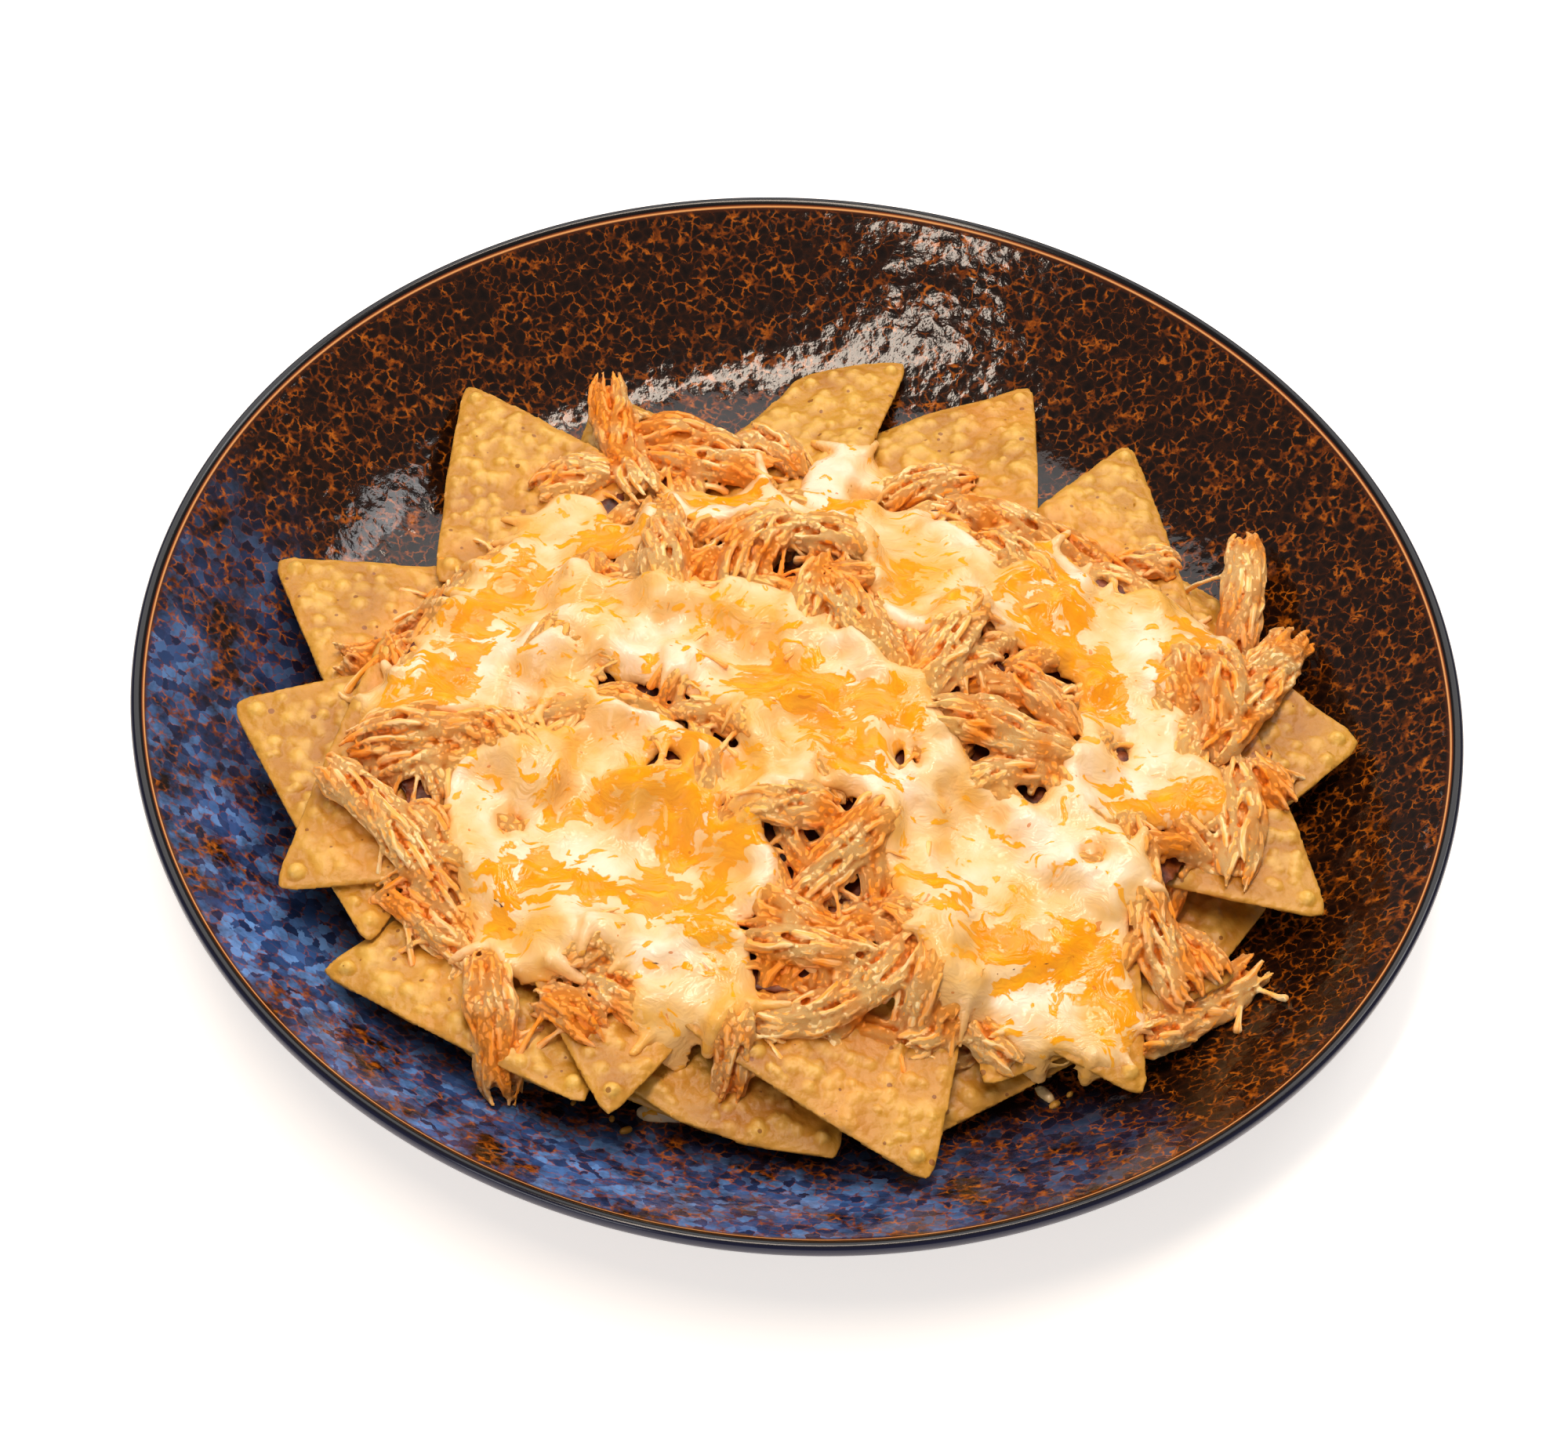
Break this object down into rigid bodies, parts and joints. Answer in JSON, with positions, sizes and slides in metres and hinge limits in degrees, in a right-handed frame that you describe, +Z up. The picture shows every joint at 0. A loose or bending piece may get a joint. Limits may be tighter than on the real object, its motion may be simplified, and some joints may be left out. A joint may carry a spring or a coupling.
{
  "type": "bowl of nachos",
  "caption": "Shallow round stoneware bowl of tortilla chips topped with shredded chicken and melted cheese, corners of the chips fanned out on the wall.",
  "frame": {"origin": "centre of the bowl's foot ring, on the surface it stands on", "axes": "+Z up along the bowl's axis, +X to the right and +Y to the back as the dish is served"},
  "size_m": [0.2796, 0.2796, 0.0492],
  "materials": {
    "glaze": "gloss",
    "tortilla": "matte",
    "chicken": "satin",
    "cheese": "gloss"
  },
  "bodies": {
    "root": {"plate": "glaze", "chip_bed": "tortilla", "chip_01": "tortilla", "chip_02": "tortilla", "chip_03": "tortilla", "chip_04": "tortilla", "chip_05": "tortilla", "chip_06": "tortilla", "chip_07": "tortilla", "chip_08": "tortilla", "chip_09": "tortilla", "chip_10": "tortilla", "chip_11": "tortilla", "chip_12": "tortilla", "chip_13": "tortilla", "chip_14": "tortilla", "chip_15": "tortilla", "chip_16": "tortilla", "chip_17": "tortilla", "chip_18": "tortilla", "chip_19": "tortilla", "chip_20": "tortilla", "chip_21": "tortilla", "shredded_chicken": "chicken", "melted_cheese": "cheese"}
  },
  "joints": []
}
